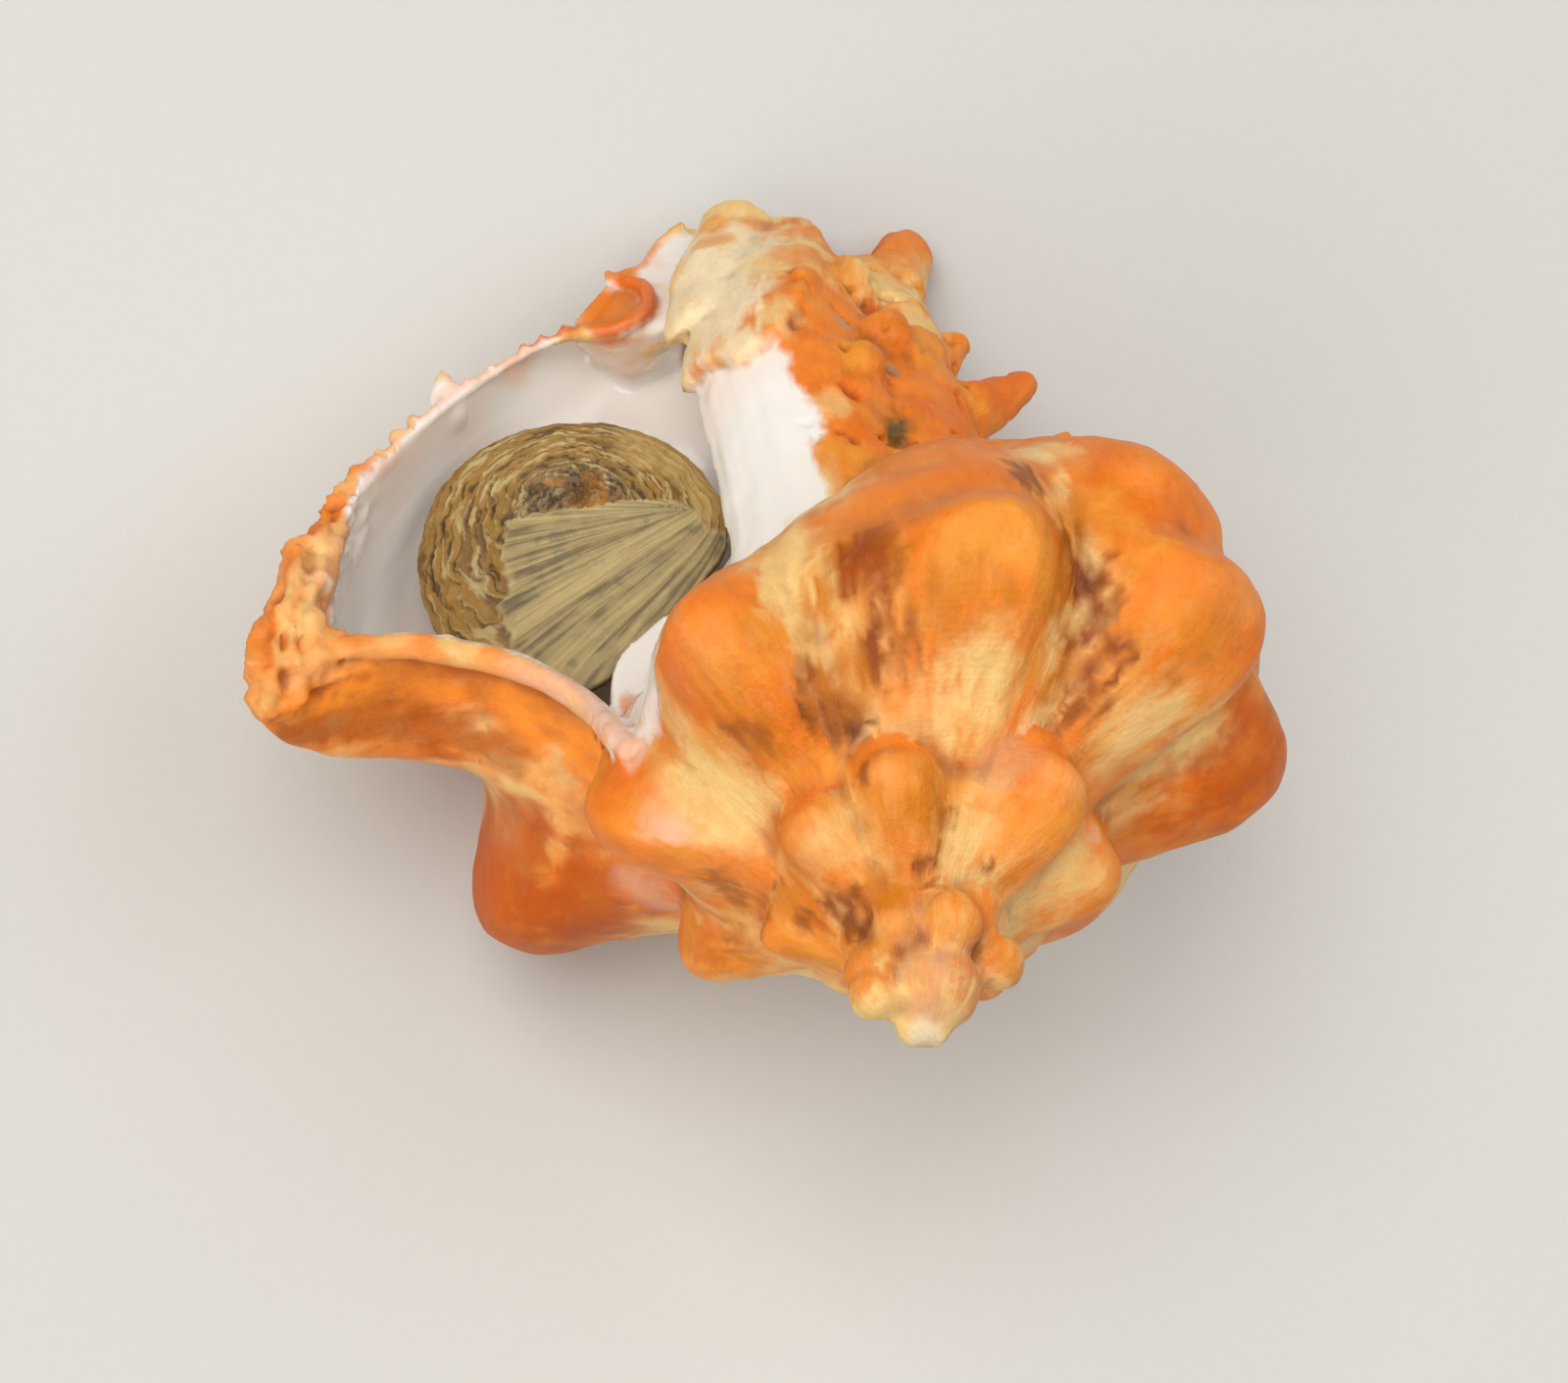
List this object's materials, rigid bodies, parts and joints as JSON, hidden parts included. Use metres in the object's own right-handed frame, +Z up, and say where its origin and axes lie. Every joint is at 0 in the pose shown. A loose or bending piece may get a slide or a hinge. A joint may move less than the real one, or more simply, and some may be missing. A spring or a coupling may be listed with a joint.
{
  "type": "murex shell",
  "caption": "Right-handed murex shell lying mouth up, with rounded knobbly ribs, a flared outer lip, a short slit canal and its horny operculum in the mouth.",
  "frame": {"origin": "middle of the bounding box at floor level, where the shell lies on its back", "axes": "+Z up; the mouth faces mostly up and toward -Y, the spire's apex points toward +X and +Y, and the siphonal canal toward -X and -Y"},
  "size_m": [0.0774, 0.0718, 0.0628],
  "materials": {
    "shell": "chalky orange and cream lime outside, smooth pinkish porcelain inside the mouth",
    "operculum": "dull layered olive-brown horn"
  },
  "bodies": {
    "root": {"shell": "shell", "operculum": "operculum"}
  },
  "joints": []
}
